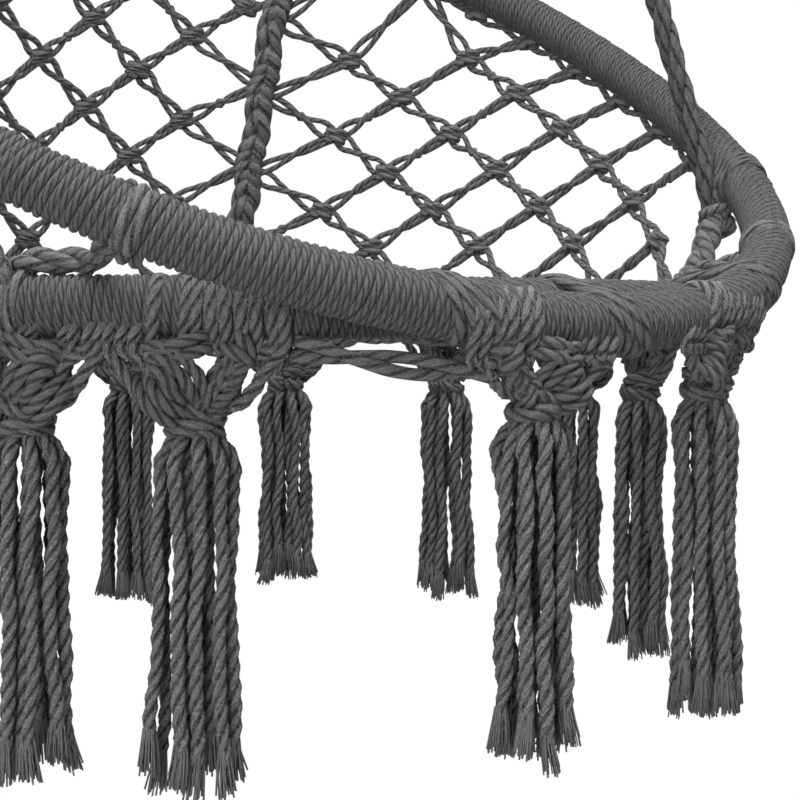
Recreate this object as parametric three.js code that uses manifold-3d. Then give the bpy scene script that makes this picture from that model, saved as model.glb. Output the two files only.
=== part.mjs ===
// Hanging macrame chair: two cord-covered steel hoops bound together at the front, a knotted net between
// them and across the seat, tassels under the seat hoop, and four ropes that gather at a hanging ring.
// Millimetres, +Z up. The origin is the top inside of the hanging ring, where a hook bears.
// The front of the chair faces -Y. Angles around a hoop are in degrees from the front, towards +X.
import * as THREE from "three";
import { mergeVertices } from "three/addons/utils/BufferGeometryUtils.js";
import Module from "manifold-3d";

// Hoops: a steel tube inside a close winding of cord
const seatHoopRadius = 285;
const backHoopRadius = 326;
const hoopTubeRadius = 9;
const hoopCoverRadius = 15;
const backHoopTilt = 32;
const bindAngle = -14.5; // direction from the seat hoop to the back hoop where they are bound, above level
const clearance = 0.3; // between pieces that touch

// Suspension
const ropeRise = 1090; // from the seat plane to the neck where the ropes meet
const seatSetback = 10; // seat centre behind the hook, so that the chair hangs level
const ropeRadius = 7;
const frontRopeAngle = 62;
const rearRopeAngle = 145;
const ringRadius = 30;
const ringWireRadius = 4.5;
const loopCordRadius = 7;
const neckRadius = 16;
const neckLength = 62;
const neckDrop = 34; // from the ring's lower bar to the neck's top
const whippingCordRadius = 2.5;
const whippingTurns = 6;

// Lashings that bind the hoops at the front, and hitches that bind the ropes to the back hoop
const lashingCordRadius = 3;
const lashingTurns = 3;
const lashingAngles = [-17.6, 2.5, 28.6];
const hitchCordRadius = 3;
const hitchReachAlong = 14; // where the hitch lies beside the rope, along the hoop
const turnGap = 1; // between one turn and the next, along the bars
const windingClearance = 1; // from a winding to what it holds, for the flats between its steps

// Nets
const netCordWidth = 8;
const netCordThickness = 5;
const sideRowHeight = 28.5;
const seatNetSag = 14;
const seatNetDrop = 5; // rim of the seat net below the middle of the hoop
const seatNetTurn = 45; // of the grid of cords, from square with the chair

// Sennits: the flat knotted braids under the ropes
const sennitWidth = 18;
const sennitThickness = 11;
const frontSennitFootAngle = 55;
const strapRadius = 6;
const strapLiftAngle = 48; // where it leaves the seat hoop
const strapEndAngle = 43;

// Tassels
const tasselHeadWidth = 77;
const tasselHeadThickness = 15;
const tasselNeckWidth = 30;
const tasselNeckThickness = 24;
const tasselNeckHeight = 16;
const tasselSkirtWidth = 42;
const tasselSkirtThickness = 34;
const tasselKnotDrop = 52; // middle of the knot below the seat plane
const tasselLength = 172; // from the knot to the cords' ends
const tasselAngles = [-54, -38, 70, 86, 110, 136, 160, 184, 208.5, 233, 257.5, 282];
const frontTasselAngles = [-8, 16.5]; // these hang under both hoops, between the lashings
const frontTasselKnotDrops = [46, 40];
const swagCordRadius = 5;
const swagEndDrop = 35; // its end at the tassel, below the seat plane
const swagAngles = [-28.5, -14.4];

// Facets
const hoopSteps = 40;
const ringSteps = 24;
const hoopSides = 8;
const loopSteps = 20;
const cordSides = 6;

const wasm = await Module();
wasm.setup();

const blueShare = 1.06;
const cotton = (name, grey) => {
  const material = new THREE.MeshStandardMaterial({ color: new THREE.Color(grey, grey, grey * blueShare) });
  material.name = name;
  material.roughness = 1;
  material.metalness = 0;
  return material;
};
const coverCotton = () => cotton("cover_cotton", 0.066);
const netCotton = () => cotton("net_cotton", 0.05);
const ropeCotton = () => cotton("rope_cotton", 0.06);
const tasselCotton = () => cotton("tassel_cotton", 0.07);
const steel = () => new THREE.MeshStandardMaterial({ color: 0x9a9da1, roughness: 0.35, metalness: 1 });

const root = new THREE.Group();
const chair = new THREE.Group();
const ringCentre = -(ringRadius - ringWireRadius);
const lowerBar = ringCentre - ringRadius;
const neckTop = lowerBar - neckDrop;
const neckBottom = neckTop - neckLength;
const seatHeight = neckBottom - ropeRise;
chair.position.set(0, seatSetback, seatHeight);
root.add(chair);

const add = (parent, name, geometry, material) => {
  const mesh = new THREE.Mesh(geometry, material);
  mesh.name = name;
  parent.add(mesh);
  return mesh;
};
const radians = THREE.MathUtils.degToRad;
const vector = (x, y, z) => new THREE.Vector3(x, y, z);

// Hoop frames, in the chair's own frame, whose origin is the middle of the seat hoop
const across = vector(1, 0, 0);
const bindDistance = 2 * hoopCoverRadius + clearance;
const tilt = radians(backHoopTilt);
const bind = radians(bindAngle);
const seatUp = vector(0, 1, 0);
const backUp = vector(0, Math.cos(tilt), Math.sin(tilt));
const backFront = vector(0, -seatHoopRadius - bindDistance * Math.cos(bind), bindDistance * Math.sin(bind));
const seatHoop = { centre: vector(0, 0, 0), up: seatUp, radius: seatHoopRadius };
const backHoop = {
  centre: backFront.clone().addScaledVector(backUp, backHoopRadius),
  up: backUp,
  radius: backHoopRadius,
};

// A point on a hoop's middle line, at an angle from its front
function onHoop(hoop, degrees) {
  const angle = radians(degrees);
  return hoop.centre
    .clone()
    .addScaledVector(hoop.up, -hoop.radius * Math.cos(angle))
    .addScaledVector(across, hoop.radius * Math.sin(angle));
}

function alongHoop(hoop, degrees) {
  const angle = radians(degrees);
  return hoop.up.clone().multiplyScalar(Math.sin(angle)).addScaledVector(across, Math.cos(angle));
}

// The back hoop's angle at which it stands in the upright plane of a seat azimuth
function backAngleAt(azimuth) {
  let low = azimuth - 60;
  let high = azimuth + 60;
  const side = (degrees) => {
    const p = onHoop(backHoop, degrees);
    const turned = radians(azimuth);
    return p.x * Math.cos(turned) + p.y * Math.sin(turned);
  };
  for (let i = 0; i < 40; i++) {
    const middle = (low + high) / 2;
    if (side(low) * side(middle) <= 0) high = middle;
    else low = middle;
  }
  return (low + high) / 2;
}

// A solid from closed rings of points: each ring has as many points, in the same order
function loft(rings) {
  const count = rings[0].length;
  const points = rings.flat();
  const triangles = [];
  for (let i = 0; i + 1 < rings.length; i++) {
    for (let j = 0; j < count; j++) {
      const a = i * count + j;
      const b = i * count + ((j + 1) % count);
      triangles.push(a, b, b + count, a, b + count, a + count);
    }
  }
  const last = (rings.length - 1) * count;
  for (let j = 1; j + 1 < count; j++) {
    triangles.push(0, j + 1, j);
    triangles.push(last, last + j, last + j + 1);
  }
  const geometry = new THREE.BufferGeometry().setFromPoints(points);
  geometry.setIndex(triangles);
  return geometry;
}

// A round cord through points, with a flat end at each
function cord(points, radius, sides) {
  const tangents = points.map((p, i) => {
    const before = points[Math.max(i - 1, 0)];
    const after = points[Math.min(i + 1, points.length - 1)];
    return after.clone().sub(before).normalize();
  });
  let side = vector(0, 0, 1).cross(tangents[0]);
  if (side.lengthSq() < 0.1) side = vector(1, 0, 0).cross(tangents[0]);
  const rings = points.map((p, i) => {
    const t = tangents[i];
    side = side.clone().addScaledVector(t, -side.dot(t)).normalize();
    const other = t.clone().cross(side);
    return Array.from({ length: sides }, (_, j) => {
      const angle = (2 * Math.PI * j) / sides;
      return p
        .clone()
        .addScaledVector(side, radius * Math.cos(angle))
        .addScaledVector(other, radius * Math.sin(angle));
    });
  });
  return loft(rings);
}

// The least gap of a wound cord to itself: points at least half a turn apart along it
function leastGap(points, radius, stepsPerTurn) {
  let least = Infinity;
  for (let i = 0; i < points.length; i++) {
    for (let j = i + Math.floor(stepsPerTurn / 2); j + 1 < points.length; j++) {
      const near = new THREE.Line3(points[j], points[j + 1]);
      const foot = near.closestPointToPoint(points[i], true, vector(0, 0, 0));
      least = Math.min(least, foot.distanceTo(points[i]) - 2 * radius);
    }
  }
  return least;
}

// A cord wound round one bar, or two that lie side by side. barsAt gives their middles at a share of the length
function winding(name, barsAt, radii, cordRadius, turns) {
  const points = [];
  const steps = turns * loopSteps;
  for (let i = 0; i <= steps; i++) {
    const frame = barsAt(i / steps);
    const angle = (2 * Math.PI * i) / loopSteps;
    const out = frame.side
      .clone()
      .multiplyScalar(Math.cos(angle))
      .addScaledVector(frame.up, Math.sin(angle));
    const reach = frame.middles.map((middle, k) => middle.dot(out) + radii[k]);
    const k = reach.indexOf(Math.max(...reach));
    points.push(frame.middles[k].clone().addScaledVector(out, radii[k]));
  }
  console.log(name + " least gap " + leastGap(points, cordRadius, loopSteps).toFixed(2) + " mm");
  return cord(points, cordRadius, cordSides);
}

// Hoops
const sections = { front: -45, right: 45, rear: 135, left: 225 };

class HoopArc extends THREE.Curve {
  constructor(radius, start, end) {
    super();
    this.radius = radius;
    this.start = start;
    this.end = end;
  }
  getPoint(t, target = vector(0, 0, 0)) {
    const angle = radians(THREE.MathUtils.lerp(this.start, this.end, t));
    return target.set(this.radius * Math.sin(angle), -this.radius * Math.cos(angle), 0);
  }
}

function ringShape(outer, inner) {
  const shape = new THREE.Shape();
  shape.absarc(0, 0, outer, 0, 2 * Math.PI);
  if (inner > 0) {
    const hole = new THREE.Path();
    hole.absarc(0, 0, inner, 0, 2 * Math.PI, true);
    shape.holes.push(hole);
  }
  return shape;
}

function addHoop(name, hoop, turned) {
  const group = new THREE.Group();
  group.position.copy(hoop.centre);
  group.rotation.x = turned;
  chair.add(group);
  const tube = new THREE.TorusGeometry(hoop.radius, hoopTubeRadius, hoopSides, hoopSteps);
  add(group, name + "_tube", tube, steel());
  const bore = hoopTubeRadius + clearance / Math.cos(Math.PI / hoopSides);
  const cut = THREE.MathUtils.radToDeg(clearance / 2 / hoop.radius);
  for (const [place, start] of Object.entries(sections)) {
    const cover = new THREE.ExtrudeGeometry(ringShape(hoopCoverRadius, bore), {
      extrudePath: new HoopArc(hoop.radius, start + cut, start + 90 - cut),
      steps: hoopSteps / 4,
      curveSegments: hoopSides / 2,
    });
    add(group, name + "_cover_" + place, cover, coverCotton());
  }
}
addHoop("seat_hoop", seatHoop, 0);
addHoop("back_hoop", backHoop, tilt);

// Front lashings, wound round both hoops
const lashingReach = hoopCoverRadius + windingClearance + lashingCordRadius;
const lashingPitch = 2 * lashingCordRadius + turnGap;
const lashingPlaces = ["left", "middle", "right"];
const lashingSpan = THREE.MathUtils.radToDeg((lashingTurns * lashingPitch) / seatHoopRadius);

function hoopPairAt(azimuth) {
  const seat = onHoop(seatHoop, azimuth);
  const back = onHoop(backHoop, backAngleAt(azimuth));
  const outward = vector(seat.x, seat.y, 0).normalize();
  return { middles: [seat, back], side: outward, up: vector(0, 0, 1) };
}

lashingAngles.forEach((angle, i) => {
  const start = angle - lashingSpan / 2;
  const geometry = winding(
    "front_lashing_" + lashingPlaces[i],
    (share) => hoopPairAt(start + share * lashingSpan),
    [lashingReach, lashingReach],
    lashingCordRadius,
    lashingTurns,
  );
  add(chair, "front_lashing_" + lashingPlaces[i], geometry, coverCotton());
});

// A knotted net: knots hold a place, an outward normal and four links in turn, seen from outside
function lattice(knots, width, thickness) {
  const points = [];
  const triangles = [];
  const face = (...loop) => {
    for (let i = 1; i + 1 < loop.length; i++) triangles.push(loop[0], loop[i], loop[i + 1]);
  };
  for (const knot of knots) {
    const ways = knot.links.map((link) => link && link.place.clone().sub(knot.place).normalize());
    const filled = ways.map((way, q) => {
      if (way) return way;
      const opposite = ways[(q + 2) % 4];
      if (opposite) return opposite.clone().negate();
      const next = ways[(q + 1) % 4] || ways[(q + 3) % 4].clone().negate();
      return next.clone().cross(knot.normal).normalize();
    });
    knot.corners = filled.map((way, q) => {
      const next = filled[(q + 1) % 4];
      const half = Math.max(way.angleTo(next) / 2, Math.PI / 8);
      const out = way.clone().add(next).normalize();
      const corner = knot.place.clone().addScaledVector(out, width / 2 / Math.sin(half));
      const outer = corner.clone().addScaledVector(knot.normal, thickness / 2);
      const inner = corner.clone().addScaledVector(knot.normal, -thickness / 2);
      points.push(outer, inner);
      return points.length - 2;
    });
  }
  for (const knot of knots) {
    const c = knot.corners;
    face(c[0], c[1], c[2], c[3]);
    face(c[3] + 1, c[2] + 1, c[1] + 1, c[0] + 1);
    knot.links.forEach((other, q) => {
      const right = c[(q + 3) % 4];
      const left = c[q];
      if (!other) {
        face(right + 1, left + 1, left, right);
        return;
      }
      if (knots.indexOf(other) < knots.indexOf(knot)) return;
      const r = other.links.indexOf(knot);
      const otherRight = other.corners[(r + 3) % 4];
      const otherLeft = other.corners[r];
      face(right, otherLeft, otherRight, left);
      face(left + 1, otherRight + 1, otherLeft + 1, right + 1);
      face(right + 1, otherLeft + 1, otherLeft, right);
      face(otherRight + 1, left + 1, left, otherRight);
    });
  }
  const geometry = new THREE.BufferGeometry().setFromPoints(points);
  geometry.setIndex(triangles);
  return geometry;
}

const knotCornerShare = 0.75; // from a knot's middle to its corner, of the cord's width
const knotReach = hoopCoverRadius + clearance + netCordWidth * knotCornerShare;

// A place on the wall of net between the hoops: an azimuth, and a height above the seat plane
function onWall(azimuth, height) {
  const low = onHoop(seatHoop, azimuth);
  const high = onHoop(backHoop, azimuth);
  return low.lerp(high, (height - low.z) / (high.z - low.z));
}

function wallNormal(azimuth) {
  const line = onHoop(backHoop, azimuth).sub(onHoop(seatHoop, azimuth)).normalize();
  return alongHoop(seatHoop, azimuth).cross(line).normalize();
}

// The height on the wall at which a knot rests against the back hoop
function wallTop(azimuth) {
  const low = onHoop(seatHoop, azimuth);
  const high = onHoop(backHoop, azimuth);
  return high.z - (knotReach * (high.z - low.z)) / high.distanceTo(low);
}

function wallFoot(azimuth) {
  const low = onHoop(seatHoop, azimuth);
  const high = onHoop(backHoop, azimuth);
  return (knotReach * (high.z - low.z)) / high.distanceTo(low);
}

// Diamond net between two azimuths of the wall. heightOf gives a knot's height from its row and azimuth,
// and firstRow says whether the first column starts on the foot or half a diamond above it
function wallNet(first, last, columns, rows, firstRow, heightOf) {
  const table = new Map();
  const azimuthOf = (c) => THREE.MathUtils.lerp(first, last, c / columns);
  for (let c = 0; c <= columns; c++) {
    for (let k = 0; k <= rows; k++) {
      if ((c + k) % 2 !== firstRow) continue;
      const azimuth = azimuthOf(c);
      const top = wallTop(azimuth);
      let height = heightOf(k, azimuth);
      const below = k > 1 ? heightOf(k - 2, azimuth) : -Infinity;
      if (below >= top - sideRowHeight) continue;
      const held = height >= top - sideRowHeight;
      if (held && (c === 0 || c === columns)) continue;
      if (held) height = top;
      table.set(c + "," + k, {
        place: onWall(azimuth, Math.max(height, wallFoot(azimuth))),
        normal: wallNormal(azimuth),
        held,
        links: [null, null, null, null],
      });
    }
  }
  const join = (a, b, way) => {
    if (!a || !b || (a.held && b.held)) return;
    a.links[way] = b;
    b.links[(way + 2) % 4] = a;
  };
  for (const [key, knot] of table) {
    const [c, k] = key.split(",").map(Number);
    join(knot, table.get(c + 1 + "," + (k + 1)), 0);
    join(knot, table.get(c - 1 + "," + (k + 1)), 1);
  }
  const knots = [...table.values()].filter((knot) => knot.links.some(Boolean));
  return lattice(knots, netCordWidth, netCordThickness);
}

const sennitShare = THREE.MathUtils.radToDeg((sennitWidth / 2 + clearance + netCordWidth) / seatHoopRadius);
const rearRows = 9;
const rearColumns = 9;
const rearHeight = (k, azimuth) => THREE.MathUtils.lerp(wallFoot(azimuth), wallTop(azimuth), k / rearRows);
const rearNet = wallNet(
  rearRopeAngle + sennitShare,
  360 - rearRopeAngle - sennitShare,
  rearColumns,
  rearRows,
  1,
  rearHeight,
);
add(chair, "back_net_rear", rearNet, netCotton());

const sideColumns = 9;
const sideRows = 12;
const sideHeight = (k, azimuth) => wallFoot(azimuth) + k * sideRowHeight;
const rightNet = wallNet(
  frontRopeAngle + sennitShare,
  rearRopeAngle - sennitShare,
  sideColumns,
  sideRows,
  0,
  sideHeight,
);
add(chair, "back_net_right", rightNet, netCotton());
const leftNet = wallNet(
  360 - rearRopeAngle + sennitShare,
  360 - frontRopeAngle - sennitShare,
  sideColumns,
  sideRows,
  1,
  sideHeight,
);
add(chair, "back_net_left", leftNet, netCotton());

// Suspension ropes and the sennits below them
const neckSpread = ropeRadius + clearance;
const ropePlaces = {
  front_right: { angle: frontRopeAngle, foot: frontSennitFootAngle, x: 1, y: -1 },
  front_left: { angle: -frontRopeAngle, foot: -frontSennitFootAngle, x: -1, y: -1 },
  rear_right: { angle: rearRopeAngle, foot: rearRopeAngle, x: 1, y: 1 },
  rear_left: { angle: -rearRopeAngle, foot: -rearRopeAngle, x: -1, y: 1 },
};
const toChair = (point) => point.clone().sub(chair.position);
const hitchReach = hoopCoverRadius + windingClearance + hitchCordRadius;
const hitchSteps = 24;

// How far a point has to move along a way to lie at a distance from a straight line
function clearOf(point, way, lineStart, lineWay, distance) {
  const from = point.clone().sub(lineStart);
  from.addScaledVector(lineWay, -from.dot(lineWay));
  const step = way.clone().addScaledVector(lineWay, -way.dot(lineWay));
  if (from.length() >= distance) return 0;
  const a = step.lengthSq();
  const b = from.dot(step);
  const c = from.lengthSq() - distance * distance;
  return (-b + Math.sqrt(b * b - a * c)) / a;
}

function straightCord(from, to, radius, sides) {
  const extrudePath = new THREE.LineCurve3(from, to);
  return new THREE.ExtrudeGeometry(ringShape(radius, 0), { extrudePath, steps: 1, curveSegments: sides / 2 });
}

// A flat braid: a rounded strip, its width along the hoop
const braidStopShares = [0, 0.08, 0.5, 0.92, 1];
const braidWidthShares = [0.7, 1, 0.92, 1, 0.7];
function braid(from, to, widthWay, width, thickness) {
  const along = to.clone().sub(from).normalize();
  const across = widthWay.clone().addScaledVector(along, -widthWay.dot(along)).normalize();
  const out = across.clone().cross(along);
  const ring = (middle, scale) =>
    Array.from({ length: hoopSides }, (_, i) => {
      const angle = (2 * Math.PI * i) / hoopSides;
      return middle
        .clone()
        .addScaledVector(across, (-Math.cos(angle) * width * scale) / 2)
        .addScaledVector(out, (Math.sin(angle) * thickness * scale) / 2);
    });
  return loft(braidStopShares.map((stop, i) => ring(from.clone().lerp(to, stop), braidWidthShares[i])));
}

for (const [place, { angle, foot, x, y }] of Object.entries(ropePlaces)) {
  const held = onHoop(backHoop, angle);
  const tangent = alongHoop(backHoop, angle);
  const top = toChair(vector(x * neckSpread, y * neckSpread, neckBottom - clearance));
  const beside = held.clone();
  const fall = vector(0, 0, -1);
  const inward = vector(0, 0, 0);
  for (let i = 0; i < 4; i++) {
    fall.copy(beside).sub(top).normalize();
    inward.crossVectors(fall, tangent).normalize();
    if (inward.dot(held) > 0) inward.negate();
    beside.copy(held).addScaledVector(inward, hoopCoverRadius + clearance + ropeRadius);
  }
  top.z -= ropeRadius * Math.hypot(fall.x, fall.y);
  const ropeEnd = beside.clone().addScaledVector(fall, hoopCoverRadius + ropeRadius);
  add(chair, "rope_" + place, straightCord(top, ropeEnd, ropeRadius, hoopSides), ropeCotton());

  const hitchPoints = Array.from({ length: hitchSteps + 1 }, (_, i) => {
    const share = i / hitchSteps;
    const turned = 2 * Math.PI * (share - 1 / 2);
    const out = inward.clone().applyAxisAngle(tangent, turned);
    const along = -x * hitchReachAlong * (2 * THREE.MathUtils.smoothstep(share, 1 / 3, 2 / 3) - 1);
    const point = held.clone().addScaledVector(tangent, along).addScaledVector(out, hitchReach);
    const over = clearOf(point, out, beside, fall, ropeRadius + windingClearance + hitchCordRadius);
    return point.addScaledVector(out, over);
  });
  const hitchGap = leastGap(hitchPoints, hitchCordRadius, hitchSteps);
  console.log("hitch_" + place + " least gap " + hitchGap.toFixed(2) + " mm");
  add(chair, "hitch_" + place, cord(hitchPoints, hitchCordRadius, cordSides), ropeCotton());

  const turnSine = (a, b) => a.clone().cross(b).length();
  const below = onHoop(seatHoop, foot).sub(ropeEnd).normalize();
  const topGap = clearance + (ropeRadius + sennitWidth / 2) * turnSine(fall, below);
  const sennitTop = ropeEnd.clone().addScaledVector(fall, topGap);
  const seat = onHoop(seatHoop, foot);
  const rise = sennitTop.clone().sub(seat).normalize();
  const slant = Math.abs(rise.dot(alongHoop(seatHoop, foot)));
  seat.addScaledVector(rise, hoopCoverRadius + clearance + (slant * sennitWidth) / 2);
  const sennit = braid(sennitTop, seat, alongHoop(seatHoop, foot), sennitWidth, sennitThickness);
  add(chair, "sennit_" + place, sennit, netCotton());
}

// Straps: a cord pair from each front sennit's foot along the seat hoop, then up to the back hoop
const strapRest = hoopCoverRadius + clearance + strapRadius;
for (const [place, turn] of [["right", 1], ["left", -1]]) {
  const footShare = THREE.MathUtils.radToDeg((sennitWidth / 2 + strapRadius) / seatHoopRadius);
  const start = frontSennitFootAngle - footShare;
  const strapSteps = 8;
  const points = Array.from({ length: strapSteps + 1 }, (_, i) => {
    const azimuth = THREE.MathUtils.lerp(start, strapEndAngle, i / strapSteps);
    const { middles, up } = hoopPairAt(azimuth);
    const [seat, back] = middles;
    const onTop = seat.clone().addScaledVector(up, strapRest);
    const under = back.clone().addScaledVector(back.clone().sub(seat).normalize(), -strapRest);
    const lifted = 1 - THREE.MathUtils.smoothstep(azimuth, strapEndAngle, strapLiftAngle);
    const middle = onTop.lerp(under, lifted).sub(seat);
    middle.setLength(Math.max(middle.length(), strapRest));
    return seat.clone().add(middle).multiply(vector(turn, 1, 1));
  });
  add(chair, "strap_" + place, cord(points, strapRadius, hoopSides), netCotton());
}

// The swag: a cord pair that hangs under the hoops between two tassels
const swagSteps = 5;
const swagStartDrop = hoopCoverRadius + clearance + swagCordRadius * Math.cos(Math.PI / cordSides);
const swagPoints = Array.from({ length: swagSteps + 1 }, (_, i) => {
  const share = i / swagSteps;
  const azimuth = THREE.MathUtils.lerp(swagAngles[0], swagAngles[1], share);
  const { middles } = hoopPairAt(azimuth);
  const middle = middles[0].clone().lerp(middles[1], share);
  return middle.setZ(-THREE.MathUtils.lerp(swagStartDrop, swagEndDrop, share));
});
add(chair, "front_swag", cord(swagPoints, swagCordRadius, cordSides), tasselCotton());

// Tassels: a knotted head that narrows to a square knot, and a fluted skirt of cords
const headRiseShares = [1, 0.72, 0.36, 0]; // of the way from the knot to the hoop
const headWidthShares = [1, 0.82, 0.6, 0.42];
const knotShares = [0.25, 0.75];
const skirtDropShares = [0.04, 0.2, 0.96, 1]; // of the length below the knot
const skirtWidthShares = [0.66, 0.94, 1.12, 1.02];
const flutes = 5;
const fluteShare = 0.14;

function tassel(middle, outward, headTop, knotDrop) {
  const sideways = vector(-outward.y, outward.x, 0);
  const ring = (z, width, thickness, flute) =>
    Array.from({ length: 2 * flutes }, (_, i) => {
      const angle = (2 * Math.PI * i) / (2 * flutes);
      const depth = 1 - (i % 2) * flute;
      return middle
        .clone()
        .setZ(z)
        .addScaledVector(sideways, (Math.cos(angle) * width * depth) / 2)
        .addScaledVector(outward, (Math.sin(angle) * thickness * depth) / 2);
    });
  const knotTop = -knotDrop + tasselNeckHeight / 2;
  const head = headRiseShares.map((share, i) => {
    const height = THREE.MathUtils.lerp(knotTop, headTop, share);
    return ring(height, tasselHeadWidth * headWidthShares[i], tasselHeadThickness, 0);
  });
  const knot = knotShares.map((share) =>
    ring(knotTop - share * tasselNeckHeight, tasselNeckWidth, tasselNeckThickness, 0),
  );
  const skirt = skirtDropShares.map((share, i) =>
    ring(
      -knotDrop - tasselNeckHeight / 2 - share * (tasselLength - tasselNeckHeight / 2),
      tasselSkirtWidth * skirtWidthShares[i],
      tasselSkirtThickness * skirtWidthShares[i],
      fluteShare,
    ),
  );
  return loft([...head, ...knot, ...skirt]);
}

const names = (i) => "tassel_" + String(i + 1).padStart(2, "0");
frontTasselAngles.forEach((azimuth, i) => {
  const { middles, side } = hoopPairAt(azimuth);
  const headShare = THREE.MathUtils.radToDeg(tasselHeadWidth / 2 / seatHoopRadius);
  const ends = [azimuth - headShare, azimuth, azimuth + headShare].flatMap((end) => hoopPairAt(end).middles);
  const lowest = Math.min(...ends.map((end) => end.z));
  const headTop = lowest - hoopCoverRadius + clearance; // the winding's flats lie inside its radius
  add(chair, names(i), tassel(middles[1], side, headTop, frontTasselKnotDrops[i]), tasselCotton());
});
tasselAngles.forEach((azimuth, i) => {
  const middle = onHoop(seatHoop, azimuth);
  const side = middle.clone().normalize();
  const geometry = tassel(middle, side, -hoopCoverRadius - clearance, tasselKnotDrop);
  add(chair, names(i + frontTasselAngles.length), geometry, tasselCotton());
});

// Seat net: a square grid of cords drawn out to the round hoop
const seatLines = 7;
const seatRimDepth = (seatNetDrop - netCordThickness / 2) * Math.tan(Math.PI / hoopSides);
const seatOpening = (seatHoopRadius - hoopCoverRadius + seatRimDepth) * Math.cos(Math.PI / hoopSteps);
const seatRim = seatOpening - clearance - netCordWidth / Math.SQRT2;
function inRound(u, v) {
  const x = u * Math.sqrt(1 - (v * v) / 2);
  const y = v * Math.sqrt(1 - (u * u) / 2);
  const turned = vector(x, y, 0).applyAxisAngle(vector(0, 0, 1), radians(seatNetTurn));
  const sag = seatNetSag * (1 - turned.lengthSq());
  return turned.multiplyScalar(seatRim).setZ(-seatNetDrop - sag);
}
const grid = new Map();
const lineShare = (i) => (2 * i) / (seatLines + 1) - 1;
for (let i = 0; i <= seatLines + 1; i++) {
  for (let j = 0; j <= seatLines + 1; j++) {
    const edges = [i, j].filter((n) => n === 0 || n === seatLines + 1).length;
    if (edges === 2) continue;
    const place = inRound(lineShare(i), lineShare(j));
    const links = [null, null, null, null];
    grid.set(i + "," + j, { place, normal: vector(0, 0, 1), rim: edges === 1, links });
  }
}
for (const [key, knot] of grid) {
  const [i, j] = key.split(",").map(Number);
  [grid.get(i + 1 + "," + j), grid.get(i + "," + (j + 1))].forEach((other, way) => {
    if (!other || (knot.rim && other.rim)) return;
    knot.links[way] = other;
    other.links[way + 2] = knot;
  });
}
add(chair, "seat_net", lattice([...grid.values()], netCordWidth, netCordThickness), netCotton());

// Crown: the ring, the loop of cords through it with its neck, and the whipping round the neck
const ring = add(
  root,
  "hanging_ring",
  new THREE.TorusGeometry(ringRadius, ringWireRadius, hoopSides, ringSteps),
  steel(),
);
ring.position.z = ringCentre;
ring.rotation.x = Math.PI / 2;

const weldShare = 0.01;
function solidFrom(geometry) {
  const plain = geometry.clone();
  plain.deleteAttribute("normal");
  plain.deleteAttribute("uv");
  const merged = mergeVertices(plain, clearance * weldShare);
  return new wasm.Manifold(
    new wasm.Mesh({
      numProp: 3,
      vertProperties: new Float32Array(merged.attributes.position.array),
      triVerts: new Uint32Array(merged.index.array),
    }),
  );
}

function geometryFrom(solid) {
  const mesh = solid.getMesh();
  const geometry = new THREE.BufferGeometry();
  geometry.setAttribute("position", new THREE.BufferAttribute(mesh.vertProperties, 3));
  geometry.setIndex(new THREE.BufferAttribute(mesh.triVerts, 1));
  geometry.computeVertexNormals();
  return geometry;
}

const loopReach = ringWireRadius + clearance + loopCordRadius / Math.cos(Math.PI / hoopSides);
const loopArcSteps = 10;
const legReach = neckRadius - loopCordRadius;
const loopPoints = [vector(0, -legReach, neckTop - loopCordRadius)];
for (let i = 0; i <= loopArcSteps; i++) {
  const angle = Math.PI * (1 - i / loopArcSteps);
  loopPoints.push(vector(0, loopReach * Math.cos(angle), lowerBar + loopReach * Math.sin(angle)));
}
loopPoints.push(vector(0, legReach, neckTop - loopCordRadius));
const neck = new THREE.CylinderGeometry(neckRadius, neckRadius, neckLength, 2 * hoopSides);
neck.rotateX(Math.PI / 2);
neck.translate(0, 0, neckTop - neckLength / 2);
const crown = solidFrom(cord(loopPoints, loopCordRadius, hoopSides)).add(solidFrom(neck));
add(root, "crown_loop", geometryFrom(crown), ropeCotton());

const whippingReach = neckRadius + windingClearance + whippingCordRadius;
const whippingPitch = 2 * whippingCordRadius + turnGap;
const whippingStart = neckTop - (neckLength - whippingTurns * whippingPitch) / 2;
const whipping = winding(
  "crown_whipping",
  (share) => ({
    middles: [vector(0, 0, whippingStart - share * whippingTurns * whippingPitch)],
    side: vector(1, 0, 0),
    up: vector(0, 1, 0),
  }),
  [whippingReach],
  whippingCordRadius,
  whippingTurns,
);
add(root, "crown_whipping", whipping, coverCotton());

root.updateMatrixWorld(true);
export default root;
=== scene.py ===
# Hanging macrame chair in charcoal cotton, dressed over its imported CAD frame.
# Metres, +Z up. The chair's front faces -Y, and the origin is the top inside of the hanging ring.
import math
import random

import bmesh
import bpy
import numpy as np
from mathutils import Matrix, Vector


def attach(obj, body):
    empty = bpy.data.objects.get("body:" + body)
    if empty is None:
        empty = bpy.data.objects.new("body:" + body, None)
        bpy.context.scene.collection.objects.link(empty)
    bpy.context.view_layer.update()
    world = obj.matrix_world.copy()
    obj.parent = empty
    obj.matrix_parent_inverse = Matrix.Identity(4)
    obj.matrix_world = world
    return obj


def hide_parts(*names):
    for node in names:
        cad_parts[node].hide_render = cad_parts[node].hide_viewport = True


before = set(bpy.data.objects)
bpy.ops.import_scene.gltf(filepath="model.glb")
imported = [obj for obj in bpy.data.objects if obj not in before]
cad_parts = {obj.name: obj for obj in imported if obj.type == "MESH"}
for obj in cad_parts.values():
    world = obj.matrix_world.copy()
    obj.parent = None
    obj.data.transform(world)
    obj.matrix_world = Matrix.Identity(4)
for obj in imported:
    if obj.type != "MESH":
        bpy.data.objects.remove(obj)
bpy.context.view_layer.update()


# Hanging ring
# The ring that goes over the ceiling hook. It is bent from drawn steel wire, welded shut at the bottom
# and zinc plated, so it is smooth with faint draw marks.
ring_radius = 0.030
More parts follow.
